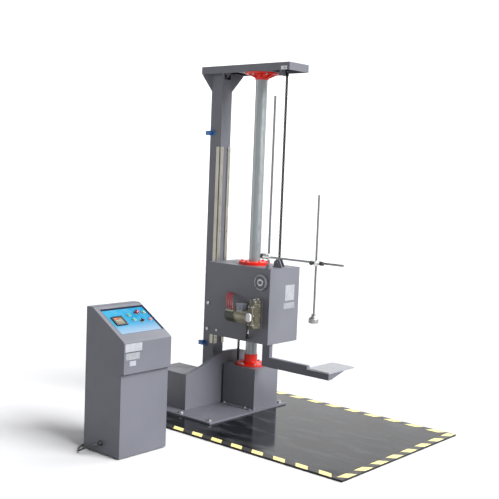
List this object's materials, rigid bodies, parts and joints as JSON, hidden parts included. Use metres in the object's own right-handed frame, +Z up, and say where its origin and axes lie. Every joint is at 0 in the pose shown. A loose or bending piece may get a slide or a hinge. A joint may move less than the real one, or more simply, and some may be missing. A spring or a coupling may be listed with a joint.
{
  "type": "package drop tester",
  "caption": "Free-standing package drop tester: motor-lifted carriage with a swinging drop arm over a taped steel impact plate, with a separate control console.",
  "frame": {"origin": "guide column axis at floor level, under the impact plate", "axes": "+Z up along the guide column; +X along the drop arm, away from the rear post; +Y across the machine, away from the control console"},
  "size_m": [1.76, 1.8808, 2.228],
  "materials": {
    "body_paint": "satin",
    "plate_black": "gloss",
    "tape": "satin",
    "flange_red": "satin",
    "column_steel": "galvanised",
    "strip_steel": "ground",
    "zinc_steel": "zinc plated",
    "chain_steel": "oiled",
    "bronze": "machined",
    "nylon": "matte",
    "motor_cast": "cast",
    "motor_blue": "painted",
    "switch_blue": "satin",
    "rod_chrome": "polished",
    "foot_alloy": "satin",
    "pad_steel": "brushed",
    "knob_black": "satin",
    "panel_blue": "printed",
    "button_green": "gloss",
    "button_red": "gloss",
    "lamp_red": "gloss",
    "rubber_black": "matte",
    "wire": "satin",
    "bezel": "satin"
  },
  "bodies": {
    "frame": {"impact_plate": "plate_black", "hazard_tape": "tape", "base_plate": "body_paint", "frame_bolts": "zinc_steel", "pedestal": "body_paint", "lower_flange": "flange_red", "guide_column": "column_steel", "upper_flange": "flange_red", "flange_screws": "zinc_steel", "top_beam": "body_paint", "rear_post": "body_paint", "guide_strips": "strip_steel", "arch_guard": "body_paint", "motor_cover": "body_paint", "lift_gearmotor": "motor_blue", "sprocket_axles": "zinc_steel", "chain_upper": "chain_steel", "chain_lower": "chain_steel", "chain_return": "chain_steel", "limit_switches": "switch_blue", "console_case": "body_paint", "control_panel": "panel_blue", "panel_fittings": "bezel", "cable_gland": "rubber_black", "power_lead": "rubber_black", "lead_coil": "rubber_black", "plug": "rubber_black"},
    "carriage": {"carriage_box": "body_paint", "carriage_flange": "flange_red", "carriage_bushes": "bronze", "carriage_axles": "zinc_steel", "side_shoes": "nylon", "chain_anchors": "chain_steel", "pivot_bearings": "body_paint", "worm_gearbox": "motor_cast", "arm_motor": "motor_cast", "motor_wiring": "wire"},
    "drop_arm": {"arm": "body_paint", "impact_arm_pad": "pad_steel"},
    "reset_crank": {"reset_crank": "zinc_steel"},
    "upper_roller": {"upper_roller": "nylon"},
    "lower_roller": {"lower_roller": "nylon"},
    "drive_sprocket": {"drive_sprocket": "zinc_steel"},
    "idler_sprocket": {"idler_sprocket": "zinc_steel"},
    "rear_sprocket": {"rear_sprocket": "zinc_steel"},
    "front_sprocket": {"front_sprocket": "zinc_steel"},
    "support_rod": {"support_rod": "rod_chrome"},
    "boss_a": {"boss_a": "foot_alloy"},
    "knob_a": {"knob_a": "knob_black"},
    "cross_rod": {"cross_rod": "rod_chrome"},
    "boss_b": {"boss_b": "foot_alloy"},
    "knob_b": {"knob_b": "knob_black"},
    "knob_c": {"knob_c": "knob_black"},
    "plunger": {"plunger": "foot_alloy"},
    "button_start": {"button_start": "button_green"},
    "button_lower": {"button_lower": "button_green"},
    "button_reset": {"button_reset": "button_green"},
    "button_lamp": {"button_lamp": "lamp_red"},
    "stop_button": {"stop_button": "button_red"},
    "selector": {"selector": "knob_black"}
  },
  "joints": [
    {"name": "carriage_lift", "type": "slide", "parent": "frame", "child": "carriage", "axis": [0, 0, 1], "range_m": [0, 0.8128], "deforming": ["chain_upper", "chain_lower", "chain_return"]},
    {"name": "front_sprocket_spin", "type": "hinge", "parent": "frame", "child": "front_sprocket", "pos_m": [0.17947, 0, 2.186], "axis": [0, 1, 0], "range_deg": [-1790, 0]},
    {"name": "rear_sprocket_spin", "type": "hinge", "parent": "frame", "child": "rear_sprocket", "pos_m": [-0.31847, 0, 2.186], "axis": [0, 1, 0], "range_deg": [-1790, 0]},
    {"name": "drive_sprocket_spin", "type": "hinge", "parent": "frame", "child": "drive_sprocket", "pos_m": [-0.31847, 0, 0.13], "axis": [0, 1, 0], "range_deg": [-1790, 0]},
    {"name": "idler_sprocket_spin", "type": "hinge", "parent": "frame", "child": "idler_sprocket", "pos_m": [-0.13953, 0, 0.13], "axis": [0, 1, 0], "range_deg": [-1790, 0]},
    {"name": "upper_roller_spin", "type": "hinge", "parent": "carriage", "child": "upper_roller", "pos_m": [-0.262, 0, 0.672], "axis": [0, 1, 0], "range_deg": [-1790, 0]},
    {"name": "lower_roller_spin", "type": "hinge", "parent": "carriage", "child": "lower_roller", "pos_m": [-0.262, 0, 0.5], "axis": [0, 1, 0], "range_deg": [-1790, 0]},
    {"name": "arm_drop", "type": "hinge", "parent": "carriage", "child": "drop_arm", "pos_m": [0.188, 0, 0.856], "axis": [0, 1, 0], "range_deg": [0, 22]},
    {"name": "crank_turn", "type": "hinge", "parent": "carriage", "child": "reset_crank", "pos_m": [0.182, -0.131, 0.69], "axis": [0, 1, 0], "range_deg": [0, 100]},
    {"name": "rod_swivel", "type": "hinge", "parent": "carriage", "child": "support_rod", "pos_m": [0.212, -0.115, 0.96], "axis": [0, 0, 1], "range_deg": [-60, 40]},
    {"name": "boss_a_slide", "type": "slide", "parent": "support_rod", "child": "boss_a", "axis": [0, 0, 1], "range_m": [0, 0.85]},
    {"name": "knob_a_turn", "type": "hinge", "parent": "boss_a", "child": "knob_a", "pos_m": [0.18, -0.115, 1.02], "axis": [1, 0, 0], "range_deg": [0, 340]},
    {"name": "cross_rod_slide", "type": "slide", "parent": "boss_a", "child": "cross_rod", "axis": [1, 0, 0], "range_m": [-0.1, 0.1]},
    {"name": "boss_b_slide", "type": "slide", "parent": "cross_rod", "child": "boss_b", "axis": [1, 0, 0], "range_m": [-0.15, 0.12]},
    {"name": "knob_b_turn", "type": "hinge", "parent": "boss_b", "child": "knob_b", "pos_m": [0.591, -0.165, 1.02], "axis": [0, 1, 0], "range_deg": [0, 340]},
    {"name": "knob_c_turn", "type": "hinge", "parent": "boss_b", "child": "knob_c", "pos_m": [0.65, -0.163, 1.02], "axis": [1, 0, 0], "range_deg": [0, 340]},
    {"name": "plunger_slide", "type": "slide", "parent": "boss_b", "child": "plunger", "axis": [0, 0, 1], "range_m": [-0.25, 0.24]},
    {"name": "button_start_press", "type": "slide", "parent": "frame", "child": "button_start", "axis": [-0.5087, 0, -0.8609], "range_m": [0, 0.003], "stiffness_N_per_m": 500, "springref_m": -0.004},
    {"name": "button_lower_press", "type": "slide", "parent": "frame", "child": "button_lower", "axis": [-0.5087, 0, -0.8609], "range_m": [0, 0.003], "stiffness_N_per_m": 500, "springref_m": -0.004},
    {"name": "button_reset_press", "type": "slide", "parent": "frame", "child": "button_reset", "axis": [-0.5087, 0, -0.8609], "range_m": [0, 0.003], "stiffness_N_per_m": 500, "springref_m": -0.004},
    {"name": "button_lamp_press", "type": "slide", "parent": "frame", "child": "button_lamp", "axis": [-0.5087, 0, -0.8609], "range_m": [0, 0.003], "stiffness_N_per_m": 500, "springref_m": -0.004},
    {"name": "stop_button_press", "type": "slide", "parent": "frame", "child": "stop_button", "axis": [-0.5087, 0, -0.8609], "range_m": [0, 0.004], "stiffness_N_per_m": 800, "springref_m": -0.004},
    {"name": "selector_turn", "type": "hinge", "parent": "frame", "child": "selector", "pos_m": [0.16603, -1.129, 0.70662], "axis": [0.5087, 0, 0.8609], "range_deg": [0, 70]}
  ],
  "couplings": [
    {"joint": "front_sprocket_spin", "follows": "carriage_lift", "rad_per_m": -38.057},
    {"joint": "rear_sprocket_spin", "follows": "carriage_lift", "rad_per_m": -38.057},
    {"joint": "drive_sprocket_spin", "follows": "carriage_lift", "rad_per_m": -38.057},
    {"joint": "idler_sprocket_spin", "follows": "carriage_lift", "rad_per_m": -38.057},
    {"joint": "upper_roller_spin", "follows": "carriage_lift", "rad_per_m": -34.843},
    {"joint": "lower_roller_spin", "follows": "carriage_lift", "rad_per_m": -34.843}
  ]
}
